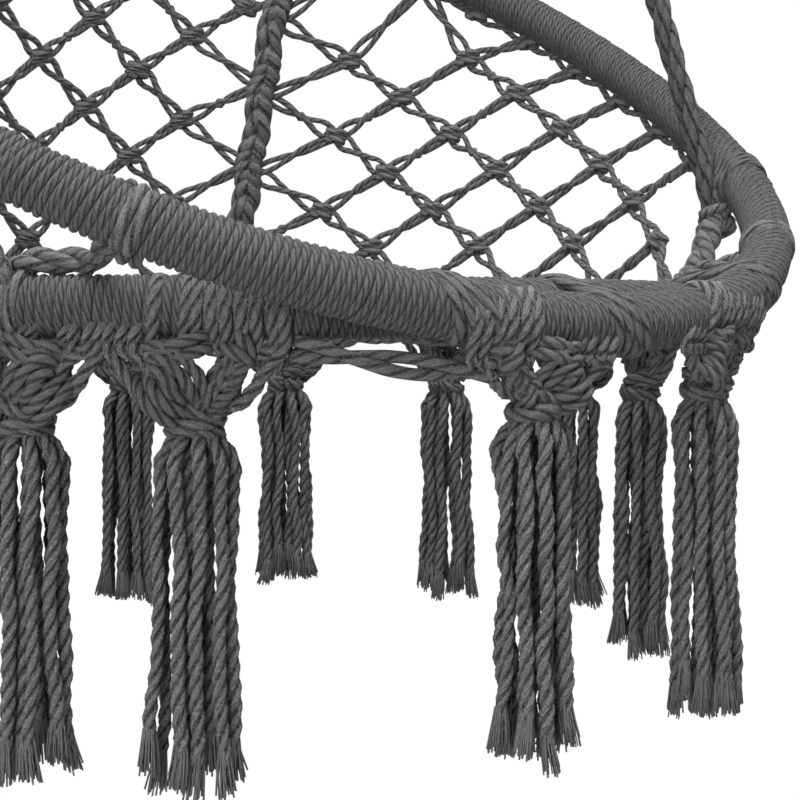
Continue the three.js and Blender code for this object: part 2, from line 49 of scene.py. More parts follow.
ring_wire_radius = 0.0045
ring_centre = Vector((0, 0, -0.0255))


def place_piece(name, mesh, body, material, nodes=()):
    """A finished piece: its mesh, its body, its material and the CAD nodes that it stands for."""
    piece = bpy.data.objects.new(name, mesh)
    bpy.context.collection.objects.link(piece)
    mesh.materials.append(material)
    mesh.shade_smooth()
    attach(piece, body)
    if nodes:
        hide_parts(*nodes)


def plain_material(name, color, roughness, metallic=0.0):
    """A material, its node tree and its shader, for the piece's own pattern."""
    material = bpy.data.materials.new(name)
    material.use_nodes = True
    shader = material.node_tree.nodes["Principled BSDF"]
    shader.inputs["Base Color"].default_value = (*color, 1)
    shader.inputs["Roughness"].default_value = roughness
    shader.inputs["Metallic"].default_value = metallic
    return material, material.node_tree, shader


def wire(tree, kind, inputs=(), **settings):
    """A node with its settings, and its inputs given as values or as other nodes' outputs."""
    node = tree.nodes.new(kind)
    for key, value in settings.items():
        setattr(node, key, value)
    for key, value in dict(inputs).items():
        if isinstance(value, bpy.types.NodeSocket):
            tree.links.new(value, node.inputs[key])
        else:
            node.inputs[key].default_value = value
    return node


drawn_steel, tree, shader = plain_material("drawn_steel", (0.55, 0.56, 0.57), 0.35, 1.0)
steel_place = wire(tree, "ShaderNodeTexCoord").outputs["Object"]
draw_marks = wire(tree, "ShaderNodeTexNoise", {"Vector": steel_place, "Scale": 900.0, "Detail": 4.0})
dulling = wire(tree, "ShaderNodeMapRange", {"Value": draw_marks.outputs[0], "To Min": 0.26, "To Max": 0.46})
tree.links.new(dulling.outputs[0], shader.inputs["Roughness"])

bm = bmesh.new()
section = bmesh.ops.create_circle(bm, segments=16, radius=ring_wire_radius)["verts"]
bmesh.ops.translate(bm, verts=section, vec=(ring_radius, 0, 0))
bmesh.ops.spin(
    bm, geom=bm.edges[:], cent=(0, 0, 0), axis=(0, 1, 0), angle=2 * math.pi, steps=72, use_merge=True
)
bmesh.ops.translate(bm, verts=bm.verts, vec=ring_centre)
bmesh.ops.recalc_face_normals(bm, faces=bm.faces)
ring_mesh = bpy.data.meshes.new("ring")
bm.to_mesh(ring_mesh)
bm.free()
place_piece("ring", ring_mesh, "ring", drawn_steel, ["hanging_ring"])


# Hoops
# Two hoops of 18 mm steel tube. The seat hoop lies level, and the larger back hoop leans back from the
# seat hoop's front, where the two are bound together. Cord hides both tubes.
seat = Vector((0, 0.010, -1.2415))
seat_hoop_radius = 0.285
back_hoop_radius = 0.326
back_hoop_lean = math.radians(32)
cover_radius = 0.015
clearance = 0.0003
bind_distance = 2 * cover_radius + clearance
bind_angle = math.radians(-14.5)


class Hoop:
    """A hoop in the chair's frame, whose origin is the middle of the seat hoop."""

    def __init__(self, centre, radius, lean):
        self.centre = centre
        self.radius = radius
        self.back = Vector((0, math.cos(lean), math.sin(lean)))
        self.up = Vector((0, -math.sin(lean), math.cos(lean)))

    def out(self, degrees):
        """The way out from the hoop's centre, at an angle that runs from the front to the right."""
        angle = math.radians(degrees)
        return Vector((math.sin(angle), 0, 0)) - math.cos(angle) * self.back

    def at(self, degrees):
        """A place on the tube's middle line."""
        return self.centre + self.radius * self.out(degrees)

    def along(self, degrees):
        """The way along the tube."""
        angle = math.radians(degrees)
        return Vector((math.cos(angle), 0, 0)) + math.sin(angle) * self.back

    def around(self, degrees, turn, reach):
        """A place round the tube, turned up from its outer side and a reach from its middle."""
        return self.at(degrees) + reach * (math.cos(turn) * self.out(degrees) + math.sin(turn) * self.up)


seat_hoop = Hoop(Vector((0, 0, 0)), seat_hoop_radius, 0)
back_front = seat_hoop.at(0) + bind_distance * Vector((0, -math.cos(bind_angle), math.sin(bind_angle)))
back_hoop = Hoop(back_front, back_hoop_radius, back_hoop_lean)
back_hoop.centre = back_front + back_hoop.radius * back_hoop.back

for node in ("seat_hoop_tube", "back_hoop_tube"):
    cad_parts[node].material_slots[0].material = drawn_steel


# Hoop windings
# Each tube is wound from end to end with one 4.5 mm cotton cord, turn pressed against turn. The turns
# lean, crowd and part a little, and the cord's six strands show as slanting ridges of dyed yarn, with
# shade painted dark into the narrow grooves between them.
cord_group = bpy.data.node_groups.new("laid_cotton", "ShaderNodeTree")
for name, kind, way in (
    ("Dark", "NodeSocketColor", "INPUT"),
    ("Light", "NodeSocketColor", "INPUT"),
    ("Color", "NodeSocketColor", "OUTPUT"),
    ("Height", "NodeSocketFloat", "OUTPUT"),
):
    cord_group.interface.new_socket(name=name, in_out=way, socket_type=kind)


def reckon(tree, operation, *values):
    """The output of one Math node."""
    return wire(tree, "ShaderNodeMath", enumerate(values), operation=operation).outputs[0]


def scaled(tree, value, low, high, smooth=False):
    """A value stretched from low..high to 0..1."""
    way = "SMOOTHSTEP" if smooth else "LINEAR"
    return wire(tree, "ShaderNodeMapRange", {0: value, 1: low, 2: high}, interpolation_type=way).outputs[0]


group_in = cord_group.nodes.new("NodeGroupInput")
group_out = cord_group.nodes.new("NodeGroupOutput")
cord_map = wire(cord_group, "ShaderNodeUVMap", uv_map="UVMap")
around, along, _ = wire(cord_group, "ShaderNodeSeparateXYZ", {0: cord_map.outputs[0]}).outputs
turn = reckon(cord_group, "MULTIPLY", around, 2 * math.pi)
cosine = reckon(cord_group, "COSINE", turn)
sine = reckon(cord_group, "SINE", turn)
ridge = reckon(cord_group, "COSINE", reckon(cord_group, "MULTIPLY", turn, 3.0))
# Nought in the narrow grooves between the strands and one on them: painted shade in the colour, and the
# strands' rise in the bump.
strand = scaled(cord_group, ridge, -1.0, -0.1, smooth=True)


def yarn_noise(round_scale, along_scale, detail):
    """Noise that runs on without a seam around the cord."""
    place = wire(
        cord_group,
        "ShaderNodeCombineXYZ",
        {
            0: reckon(cord_group, "MULTIPLY", cosine, round_scale),
            1: reckon(cord_group, "MULTIPLY", sine, round_scale),
            2: reckon(cord_group, "MULTIPLY", along, along_scale),
        },
    ).outputs[0]
    return wire(
        cord_group, "ShaderNodeTexNoise", {"Vector": place, "Scale": 1.0, "Detail": detail}
    ).outputs[0]


fibre = scaled(cord_group, yarn_noise(2.4, 190.0, 2.0), 0.38, 0.62)
fuzz = scaled(cord_group, yarn_noise(5.4, 1700.0, 1.0), 0.38, 0.62)
fleck = scaled(cord_group, yarn_noise(5.8, 1500.0, 1.0), 0.64, 0.72)
cord_place = wire(cord_group, "ShaderNodeTexCoord").outputs["Object"]
patch = wire(
    cord_group, "ShaderNodeTexNoise", {"Vector": cord_place, "Scale": 45.0, "Detail": 2.0}
).outputs[0]
# The tone starts from that painted groove shade, then adds yarn grain, random patches and light flecks of
# fibre.
tone = reckon(cord_group, "MULTIPLY_ADD", strand, 0.60, -0.26)
for layer, share in ((fibre, 0.24), (fuzz, 0.56), (patch, 0.14), (fleck, 0.90)):
    tone = reckon(cord_group, "MULTIPLY_ADD", layer, share, tone)
cord_color = wire(
    cord_group,
    "ShaderNodeMix",
    {0: reckon(cord_group, "MAXIMUM", tone, 0.0), 6: group_in.outputs["Dark"], 7: group_in.outputs["Light"]},
    data_type="RGBA",
    clamp_factor=False,
)
cord_height = reckon(cord_group, "MULTIPLY_ADD", fibre, 0.30, strand)
cord_height = reckon(cord_group, "MULTIPLY_ADD", fuzz, 0.40, cord_height)
cord_group.links.new(cord_color.outputs[2], group_out.inputs["Color"])
cord_group.links.new(cord_height, group_out.inputs["Height"])


def cotton(name, dark, light, relief):
    """Cotton cord from a dark grey, painted as shade in the strands' grooves, to a light grey; relief raises
    strands.
    """
    material, tree, shader = plain_material(name, light, 0.95)
    shader.inputs["Sheen Weight"].default_value = 0.15
    shader.inputs["Sheen Roughness"].default_value = 0.5
    shader.inputs["Specular IOR Level"].default_value = 0.2
    laid = wire(tree, "ShaderNodeGroup", node_tree=cord_group)
    laid.inputs["Dark"].default_value = (*dark, 1)
    laid.inputs["Light"].default_value = (*light, 1)
    bump = wire(tree, "ShaderNodeBump", {"Distance": relief, "Height": laid.outputs["Height"]})
    tree.links.new(laid.outputs["Color"], shader.inputs["Base Color"])
    tree.links.new(bump.outputs[0], shader.inputs["Normal"])
    return material


# The colour painted into the grooves between strands, as the shade that falls there.
painted_groove_shade = (0.006, 0.006, 0.007)
cover_cotton = cotton("cover_cotton", painted_groove_shade, light=(0.196, 0.196, 0.206), relief=0.0010)


def cord_mesh(name, cords, lay, sides=6, swell=0.0, section=None, strands=3, origin=seat):
    """A mesh of closed cords, from each one's path and radius, mapped in turns around and metres along."""
    curve = bpy.data.curves.new(name, "CURVE")
    curve.dimensions = "3D"
    curve.use_fill_caps = True
    curve.bevel_depth = 1
    curve.bevel_resolution = sides // 2 - 2
    if section:
        curve.bevel_mode = "OBJECT"
        curve.bevel_object = section
    total = 0
    for number, (path, radius) in enumerate(cords):
        path = np.array([tuple(p) for p in path])
        gone = np.concatenate([[0], np.cumsum(np.linalg.norm(np.diff(path, axis=0), axis=1))])
        swelling = 1 + swell * np.sin(230 * gone + 2.1 * number) * np.sin(97 * gone + 5.3 * number)
        spline = curve.splines.new("POLY")
        spline.points.add(len(path) - 1)
        spline.points.foreach_set("co", np.column_stack([path, np.ones(len(path))]).ravel())
        spline.points.foreach_set("radius", radius * swelling)
        if section:
            spline.points.foreach_set("tilt", 2 * math.pi * gone / lay)
        total += gone[-1]
    drawn = bpy.data.objects.new(name, curve)
    bpy.context.collection.objects.link(drawn)
    mesh = bpy.data.meshes.new_from_object(drawn.evaluated_get(bpy.context.evaluated_depsgraph_get()))
    bpy.data.objects.remove(drawn)
    bm = bmesh.new()
    bm.from_mesh(mesh)
    bmesh.ops.remove_doubles(bm, verts=bm.verts, dist=0.000001)
    bmesh.ops.recalc_face_normals(bm, faces=bm.faces)
    bmesh.ops.translate(bm, verts=bm.verts, vec=origin)
    bm.to_mesh(mesh)
    bm.free()
    # The curve's own map runs from 0 to 1 along every cord, and from 0 to 1 around it.
    shares = np.empty(2 * len(mesh.loops))
    mesh.uv_layers[0].data.foreach_get("uv", shares)
    along, around = shares.reshape(-1, 2).T
    along = along * total / len(cords)
    if not section:
        around = (around + along / lay) * strands / 3
    mesh.uv_layers[0].data.foreach_set("uv", np.column_stack([around, along]).ravel())
    return mesh


# More than half the cord's width, because the turns press into each other.
winding_cord_radius = 0.00255
winding_reach = cover_radius - 0.0024


def winding(hoop, turns, lean, seed):
    """The path of a cord round a hoop's tube from end to end."""
    rng = random.Random(seed)
    waves = [(rng.uniform(0.4, 1), rng.randint(5, 150), rng.uniform(0, 6.3)) for _ in range(14)]
    steps = 16
    path = []
    for i in range(turns * steps + 1):
        share = i / (turns * steps)
        sway = sum(size * math.sin(2 * math.pi * times * share + start) for size, times, start in waves) / 4
        turn = 2 * math.pi * i / steps
        degrees = 180 + 360 * share + 0.09 * sway + lean * math.sin(turn)
        reach = winding_reach + 0.00016 * sway + 0.00012 * math.sin(2.3 * turn)
        path.append(hoop.around(degrees, turn, reach))
    return path


for name, hoop, turns, lean in (("seat_hoop", seat_hoop, 412, 0.10), ("back_hoop", back_hoop, 472, 0.42)):
    cords = [(winding(hoop, turns, lean, turns), winding_cord_radius)]
    winding_mesh = cord_mesh(name + "_winding", cords, lay=0.032, sides=8, strands=6)
    covers = [name + "_cover_" + quarter for quarter in ("front", "right", "rear", "left")]
    place_piece(name + "_winding", winding_mesh, "chair", cover_cotton, covers)


# Ropes
# Four ropes come down from the crown, each laid from four cords. Each passes inside the back hoop and is
# hitched to it with three turns of a thinner cord.
rope_radius = 0.007
rope_cord_radius = 0.0036
rope_cord_offset = 0.0042
rope_lay = 0.070
hitch_cord_radius = 0.0029
rope_hitch_reach = 0.0105
neck_bottom = -0.1515
front_rope_angle = 62
rear_rope_angle = 145
front_foot_angle = 55
rope_cotton = cotton("rope_cotton", painted_groove_shade, light=(0.170, 0.170, 0.180), relief=0.0010)


class Rope:
    """A rope from the crown past the back hoop to its end, and the line of the sennit under it."""

    def __init__(self, side, behind, azimuth, foot):
        self.foot = foot
        self.held = back_hoop.at(azimuth)
        self.tangent = back_hoop.along(azimuth)
        spread = rope_radius + clearance
        self.top = Vector((side * spread, behind * spread, neck_bottom)) - seat
        self.beside = self.held.copy()
        for _ in range(4):
            self.fall = (self.beside - self.top).normalized()
            self.inward = self.fall.cross(self.tangent).normalized()
            if self.inward.dot(self.held) > 0:
                self.inward.negate()
            self.beside = self.held + self.inward * (cover_radius + clearance + rope_radius)
        self.end = self.beside + self.fall * (cover_radius + rope_radius)
        self.line = self.end - seat_hoop.at(foot)


def twisted(start, end, count, offset, lay, rng):
    """Cords laid round each other along a straight line, a little unevenly."""
    way = (end - start).normalized()
    side = way.orthogonal().normalized()
    other = way.cross(side)
    length = (end - start).length
    steps = int(length / 0.006) + 4
    waves = [(rng.uniform(0.0003, 0.0009), rng.uniform(8, 22), rng.uniform(0, 6.3)) for _ in range(3)]
    paths = []
    for n in range(count):
        path = []
        for i in range(steps + 1):
            gone = length * i / steps
            turn = 2 * math.pi * (n / count - 0.07 * (n % 2) + gone / lay)
            shift = sum(size * math.sin(pace * gone + begin) for size, pace, begin in waves)
            out = side * (offset * math.cos(turn) + shift) + other * (offset * math.sin(turn) + shift / 2)
            path.append(start + way * gone + out)
        paths.append(path)
    return paths


def hitch(hoop, azimuth, reach, turns, pitch, start=0.5):
    """A cord's turns round a hoop's winding."""
    steps = int(20 * turns)
    width = math.degrees(turns * pitch / hoop.radius)
    path = []
    for i in range(steps + 1):
        share = i / steps
        turn = 2 * math.pi * (turns * share + start)
        path.append(hoop.around(azimuth + width * (share - 0.5), turn, reach))
    return path


def smooth_path(points, step):
    """Points about a step apart on a smooth curve through the given points."""
    points = np.array([tuple(p) for p in points])
    before = np.vstack([2 * points[0] - points[1], points[:-2]])
    after = np.vstack([points[2:], 2 * points[-1] - points[-2]])
    path = [points[:1]]
    for p0, p1, p2, p3 in zip(before, points[:-1], points[1:], after):
        count = max(int(round(np.linalg.norm(p2 - p1) / step)), 1)
        t = np.linspace(0, 1, count + 1)[1:, None]
        cubic = (3 * p1 - p0 - 3 * p2 + p3) * t**3
        path.append(0.5 * (2 * p1 + (p2 - p0) * t + (2 * p0 - 5 * p1 + 4 * p2 - p3) * t**2 + cubic))
    return np.vstack(path)


def rope_hitch(rope, slide):
    """One turn of cord round the back hoop's winding and the rope beside it."""
    path = []
    for i in range(33):
        turned = 2 * math.pi * (i / 32 - 0.5)
        out = Matrix.Rotation(turned, 3, rope.tangent) @ rope.inward
        slant = rope.tangent * (slide + 0.0050 * math.sin(turned / 2))
        point = rope.held + slant + out * (cover_radius - 0.0004)
        past_rope = point - rope.beside
        gap = (past_rope - rope.fall * past_rope.dot(rope.fall)).length
        if gap < rope_hitch_reach and out.dot(rope.inward) > 0:
            point += rope.inward * (rope_hitch_reach - gap) * 1.6
        path.append(point)
    return smooth_path(path, 0.003)


ropes = {
    "front_right": Rope(1, -1, front_rope_angle, front_foot_angle),
    "front_left": Rope(-1, -1, -front_rope_angle, -front_foot_angle),
    "rear_right": Rope(1, 1, rear_rope_angle, rear_rope_angle),
    "rear_left": Rope(-1, 1, -rear_rope_angle, -rear_rope_angle),
}
for number, (corner, rope) in enumerate(ropes.items()):
    rng = random.Random(30 + number)
    strands = twisted(rope.top, rope.end - rope.fall * 0.002, 4, rope_cord_offset, rope_lay, rng)
    cords = [(path, rope_cord_radius) for path in strands]
    rope_mesh = cord_mesh("rope_" + corner, cords, lay=0.040, sides=8, swell=0.09)
    place_piece("rope_cords_" + corner, rope_mesh, "chair", rope_cotton, ["rope_" + corner])

    cords = [(rope_hitch(rope, slide), hitch_cord_radius) for slide in (-0.0068, -0.0014, 0.0045)]
    hitch_mesh = cord_mesh("hitch_" + corner, cords, lay=0.045)
    hitch_nodes = ["hitch_" + corner]
    place_piece("hitch_cords_" + corner, hitch_mesh, "chair", rope_cotton, hitch_nodes)


# Sennits
# Under each rope its cords go on as a flat sennit, four of them braided over and under, down to the seat
# hoop. Three leaning turns of cord bind its top, and another cord's turns hitch its foot to the hoop.
sennit_width = 0.0220
sennit_thickness = 0.0160
sennit_cord_radius = 0.0049
sennit_period = 0.044
binding_cord_radius = 0.0035
binding_spacing = 0.0056
binding_wide = 0.0092
binding_deep = 0.0086
# The net cotton's dark grey is shade painted into the grooves between its cords' strands.
net_cotton = cotton("net_cotton", dark=(0.012, 0.012, 0.013), light=(0.213, 0.213, 0.224), relief=0.0007)


def braid(start, end, across, width, thickness, radius, period, phase):
    """A flat braid of four cords that cross over and under in turn."""
    way = (end - start).normalized()
    across = (across - way * across.dot(way)).normalized()
    out = across.cross(way)
    length = (end - start).length
    steps = int(length / 0.003) + 8
    paths = []
    for n in range(4):
        path = []
        for i in range(steps + 1):
            gone = length * i / steps
            turn = 2 * math.pi * (gone / period + n / 4) + phase + 0.8 * math.sin(95 * gone + phase)
            uneven = 0.18 * math.sin(130 * gone + 2 * phase)
            swing = across * (width / 2 - radius) * (math.sin(turn) + uneven)
            rise = out * (thickness / 2 - radius) * math.sin(2 * turn + 0.4)
            path.append(start + way * gone + swing + rise)
        paths.append(path)
    return paths


def wrap(centre, axis, front, wide, deep, turns, pitch, begin=-math.pi / 2):
    """A cord's turns round a bundle: the bundle's axis, the way to its front, and the reach each way."""
    axis = axis.normalized()
    across = front.cross(axis).normalized()
    front = axis.cross(across)
    steps = int(turns * max(wide / 0.00045, 14))
    path = []
    for i in range(steps + 1):
        share = i / steps
        turn = begin + 2 * math.pi * turns * share
        sweep = across * wide * math.cos(turn) + front * deep * math.sin(turn)
        path.append(centre + axis * pitch * turns * (0.5 - share) + sweep)
    return path


for number, (corner, rope) in enumerate(ropes.items()):
    along_hoop = seat_hoop.along(rope.foot)
    front = along_hoop.cross(rope.line)
    top_end = rope.end - rope.fall * 0.006
    foot_end = seat_hoop.at(rope.foot) + rope.line.normalized() * 0.011
    sizes = (sennit_width, sennit_thickness, sennit_cord_radius, sennit_period)
    cords = [(path, sennit_cord_radius) for path in braid(top_end, foot_end, along_hoop, *sizes, number)]
    for k, lean in enumerate((-0.34, 0.30, -0.26)):
        place = rope.end + rope.fall * (binding_spacing * k - 0.0060)
        axis = rope.fall + along_hoop * lean
        turned = wrap(place, axis, front, binding_wide, binding_deep, turns=1, pitch=0.0030)
        cords.append((turned, binding_cord_radius))
    foot_turns = hitch(seat_hoop, rope.foot, cover_radius - 0.0002, turns=3.3, pitch=0.0050)
    cords.append((foot_turns, hitch_cord_radius))
    sennit_mesh = cord_mesh("sennit_" + corner, cords, lay=0.030, sides=8, swell=0.10)
    sennit_nodes = ["sennit_" + corner]
    place_piece("sennit_cords_" + corner, sennit_mesh, "chair", net_cotton, sennit_nodes)


# Back and side nets
# Macrame worked straight onto the hoops: 4 mm cords go in twisted pairs from square knot to square knot,
# in diamonds, and stand open like an eye beside some knots. The sides tie into the sennits.
net_cord_radius = 0.0023
knot_wide = 0.0068
knot_deep = 0.0036
knot_pitch = 0.0034
eye_share = 0.36
twist_from = 0.32
twist_share = 0.36
row_height = 0.0285
net_columns = 9
side_rows = 12
rear_rows = 9
joint_reach = 0.024
wall_reach = cover_radius + 0.0063
net_margin = math.degrees(0.0173 / seat_hoop.radius)


class Knot:
    """A knot of a net, or a place where a net's cords go into a hoop or a sennit."""

    def __init__(self, place, front, upright, bare):
        self.place = place
        self.front = front
        self.upright = upright
        self.bare = bare


def ease(share):
    """A share of 0 to 1 that starts and ends gently."""
    share = min(max(share, 0), 1)
    return share * share * (3 - 2 * share)


def pair(start, end, front, eyes, rng):
    """Two cords twisted round each other between two knots, more or less open beside each knot."""
    way = (end - start).normalized()
    across = front.cross(way).normalized()
    front = way.cross(across)
    span = end - start
    eyes = [eye * rng.uniform(0.4, 1.1) for eye in eyes]
    half_turns = rng.choice((1, 1, 2)) * rng.choice((-1, 1))
    steps = 12
    cords = ([], [])
    for i in range(steps + 1):
        share = i / steps
        turn = math.pi * half_turns * ease((share - twist_from) / twist_share)
        first_eye = eyes[0] * math.sin(math.pi * min(share / eye_share, 1))
        last_eye = eyes[1] * math.sin(math.pi * min((1 - share) / eye_share, 1))
        apart = net_cord_radius * (0.78 + 1.35 * max(first_eye + last_eye, 0))
        out = (across * math.cos(turn) + front * math.sin(turn)) * apart
        cords[0].append(start + span * share + out)
        cords[1].append(start + span * share - out)
    return [(smooth_path(path, 0.005), net_cord_radius) for path in cords]


def square_knot(place, front, upright, rng):
    """The working cords of a square knot, wrapped broad and flat round the other two."""
    across = front.cross(upright).normalized()
    axis = upright + across * rng.uniform(-0.3, 0.3)
    turned = wrap(place, axis, front, knot_wide, knot_deep, turns=3, pitch=knot_pitch)
    return (turned, net_cord_radius * 1.15)


def knotted(knots, links, rng):
    """All the cords of a net."""
    cords = []
    for a, b, eyes in links:
        cords += pair(a.place, b.place, a.front + b.front, eyes, rng)
    cords += [square_knot(knot.place, knot.front, knot.upright, rng) for knot in knots if not knot.bare]
    return cords


def wall_net(first, last, rows, first_row, height_at, sennits):
    """The knots and links of a net between two azimuths of the wall between the hoops."""
    table = {}
    for c in range(net_columns + 1):
        azimuth = first + (last - first) * c / net_columns
        low = seat_hoop.at(azimuth)
        line = back_hoop.at(azimuth) - low
        upright = line.normalized()
        front = seat_hoop.along(azimuth).cross(upright).normalized()
        foot = wall_reach * upright.z
        top = line.z - foot
        last_row = top - row_height
        for k in range(rows + 1):
            # Knots stand in every other row, and a column ends where one reaches the back hoop.
            if (c + k) % 2 != first_row or (k > 1 and height_at(k - 2, foot, top) >= last_row):
                continue
            height = height_at(k, foot, top)
            at_top = height >= last_row
            at_foot = height <= foot + 0.001
            outer = c in (0, net_columns)
            if at_top and outer:
                continue
            if at_top:
                height = line.z - (cover_radius + 0.001) * upright.z
            elif at_foot:
                height = (cover_radius + 0.001) * upright.z
            place = low + line * (height / line.z)
            # An outer knot is tied to the sennit beside it. Where the two are near, its cords go into it.
            if outer:
                rope = ropes[sennits[0 if c == 0 else 1]]
                joint = seat_hoop.at(rope.foot) + rope.line * (height / rope.line.z)
                near = (joint - place).length < joint_reach
                if near:
                    place = joint + (place - joint) * 0.2
                else:
                    table[c, k, "joint"] = Knot(joint, front, upright, True)
            else:
                near = False
            table[c, k] = Knot(place, front, upright, near)
    links = []
    for (c, k, *joint), knot in table.items():
        if joint:
            links.append((table[c, k], knot, (0, 0)))
            continue
        for other, eyes in ((table.get((c + 1, k + 1)), (1, 1)), (table.get((c - 1, k + 1)), (0.7, 0.1))):
            if other:
                links.append((knot, other, eyes))
    return list(table.values()), links


def side_height(k, foot, top):
    """The height of a side net's row: the rows are alike, as many as fit under the back hoop."""
    return foot + row_height * k


def rear_height(k, foot, top):
    """The height of the rear net's row: its rows share out the height of the wall."""
    return foot + (top - foot) * k / rear_rows


side_first = front_rope_angle + net_margin
side_last = rear_rope_angle - net_margin
rear_first = side_last + 2 * net_margin
rear_last = 360 - side_last - 2 * net_margin
walls = {
    "rear": (rear_first, rear_last, rear_rows, 1, rear_height, ("rear_right", "rear_left")),
    "right": (side_first, side_last, side_rows, 0, side_height, ("front_right", "rear_right")),
    "left": (360 - side_last, 360 - side_first, side_rows, 1, side_height, ("rear_left", "front_left")),
}
for number, (name, wall) in enumerate(walls.items()):
    cords = knotted(*wall_net(*wall), random.Random(10 + number))
    net_mesh = cord_mesh("net_" + name, cords, lay=0.024, swell=0.10)
    place_piece("net_cords_" + name, net_mesh, "chair", net_cotton, ["back_net_" + name])


# Seat net
# The same twisted pairs and square knots, worked in squares across the seat hoop and turned by half a
# right angle. The net is drawn tight, and sags a little in the middle.
seat_lines = 7
seat_net_turn = math.radians(45)
seat_net_reach = 0.264
seat_net_drop = 0.005
seat_net_sag = 0.014
rim_stretch = 1.05


def in_round(u, v):
    """A place of a square grid, drawn out to the round hoop."""
    x = u * math.sqrt(1 - v * v / 2)
    y = v * math.sqrt(1 - u * u / 2)
    ahead = math.cos(seat_net_turn) * x - math.sin(seat_net_turn) * y
    beside = math.sin(seat_net_turn) * x + math.cos(seat_net_turn) * y
    height = -seat_net_drop - seat_net_sag * (1 - x * x - y * y)
    return Vector((seat_net_reach * ahead, seat_net_reach * beside, height))


grid = {}
last_line = seat_lines + 1
for i in range(last_line + 1):
    for j in range(last_line + 1):
        rims = (i in (0, last_line)) + (j in (0, last_line))
        if rims == 2:
            continue
        place = in_round(2 * i / last_line - 1, 2 * j / last_line - 1)
        if rims:
            place = place * rim_stretch
        grid[i, j] = Knot(place, Vector((0, 0, 1)), Vector((1, 1, 0)), rims == 1)
links = []
for (i, j), knot in grid.items():
    for other in (grid.get((i + 1, j)), grid.get((i, j + 1))):
        if other and not (knot.bare and other.bare):
            links.append((knot, other, (0.8, 0.8)))
cords = knotted(grid.values(), links, random.Random(14))
seat_net_mesh = cord_mesh("seat_net", cords, lay=0.024, swell=0.10)
place_piece("seat_net_cords", seat_net_mesh, "chair", net_cotton, ["seat_net"])


# Front lashings
# The hoops are bound together in three places, each with one cotton cord whose few turns slant round
# both of them.
lashing_cord_radius = 0.0027
lashing_turns = 3.4
lashing_pitch = 0.0052
lashing_slant = 1.4
lashing_reach = cover_radius - 0.0003


def pair_at(azimuth):
    """Both hoops' middles in the upright plane of one azimuth of the seat, and the way out."""
    middle = seat_hoop.at(azimuth)
    turned = math.radians(azimuth)

    def beyond(degrees):
        """How far a place on the back hoop lies past the plane."""
        point = back_hoop.at(degrees)
        return point.x * math.cos(turned) + point.y * math.sin(turned)

    low, high = azimuth - 60, azimuth + 60
    for _ in range(40):
        half = (low + high) / 2
        if beyond(low) * beyond(half) <= 0:
            high = half
        else:
            low = half
    return middle, back_hoop.at(low), middle.normalized()


def lashing(azimuth):
    """A cord's turns round both hoops."""
    span = math.degrees(lashing_turns * lashing_pitch / seat_hoop.radius)
    steps = int(lashing_turns * 28)
    path = []
    for i in range(steps + 1):
        share = i / steps
        turn = 2 * math.pi * lashing_turns * share - math.pi / 2
        across = span * (share - 0.5) * (1 - 0.25 * math.sin(turn)) - lashing_slant * math.sin(turn)
        seat_middle, back_middle, outward = pair_at(azimuth + across)
        out = outward * math.cos(turn) + Vector((0, 0, math.sin(turn)))
        middle = max((seat_middle, back_middle), key=lambda point: point.dot(out))
        path.append(middle + out * lashing_reach)
    return smooth_path(path, 0.004)


for place, azimuth in (("left", -15.6), ("middle", 0.8), ("right", 27.4)):
    cords = [(lashing(azimuth), lashing_cord_radius)]
    lashing_mesh = cord_mesh("lashing_" + place, cords, lay=0.045, sides=8, swell=0.08)
    lashing_nodes = ["front_lashing_" + place]
    place_piece("lashing_cord_" + place, lashing_mesh, "chair", cover_cotton, lashing_nodes)


# Straps
# Three cords laid together run from each front sennit's foot along the top of the seat hoop, and then up
# under the back hoop. They end in a small knot, and two turns of cord hitch them to that hoop.
strap_cord_radius = 0.0031
strap_hitch_radius = 0.0028
strap_spiral = 0.0034
strap_lay = 0.055
strap_step = 0.004
strap_from = 57
strap_to = 42
strap_hitch_angle = 42.5
strap_lifted_at = 43
strap_sinks_from = 53
strap_sink = 0.008
strap_rest = cover_radius + 0.0063
for side, place in ((1, "right"), (-1, "left")):
    run = []
    for i in range(11):
        azimuth = strap_from + (strap_to - strap_from) * i / 10
        seat_middle, back_middle, _ = pair_at(azimuth)
        on_top = seat_middle + Vector((0, 0, strap_rest))
        under = back_middle - (back_middle - seat_middle).normalized() * (strap_rest - 0.003)
        lifted = 1 - ease((azimuth - strap_lifted_at) / 5)
        sunk = strap_sink * ease((azimuth - strap_sinks_from) / 4)
        rise = on_top.lerp(under, lifted) - seat_middle
        rise *= (max(rise.length, strap_rest) - sunk) / rise.length
        point = seat_middle + rise
        run.append(Vector((side * point.x, point.y, point.z)))
    middle_line = [Vector(p) for p in smooth_path(run, strap_step)]
    cords = []
    for n in range(3):
        path = []
        for i, point in enumerate(middle_line):
            ahead = middle_line[min(i + 1, len(middle_line) - 1)] - middle_line[max(i - 1, 0)]
            across = ahead.cross(Vector((0, 0, 1))).normalized()
            above = ahead.cross(across).normalized()
            turn = 2 * math.pi * (n / 3 + strap_step * i / strap_lay)
            path.append(point + (across * math.cos(turn) + above * math.sin(turn)) * strap_spiral)
        cords.append((path, strap_cord_radius))
    hitched_at = side * strap_hitch_angle
    hitch_turns = hitch(back_hoop, hitched_at, cover_radius - 0.0010, turns=2, pitch=0.0058, start=0.25)
    cords.append((hitch_turns, strap_hitch_radius))
    last_way = middle_line[-1] - middle_line[-3]
    knot_place = middle_line[-1] - last_way * 0.6
    forward = Vector((0, -1, 0))
    end_knot = wrap(knot_place, last_way, forward, 0.0062, 0.0062, turns=2, pitch=0.0060, begin=1.57)
    cords.append((end_knot, strap_cord_radius))
    strap_mesh = cord_mesh("strap_" + place, cords, lay=0.035, sides=8, swell=0.05)
    place_piece("strap_cords_" + place, strap_mesh, "chair", net_cotton, ["strap_" + place])


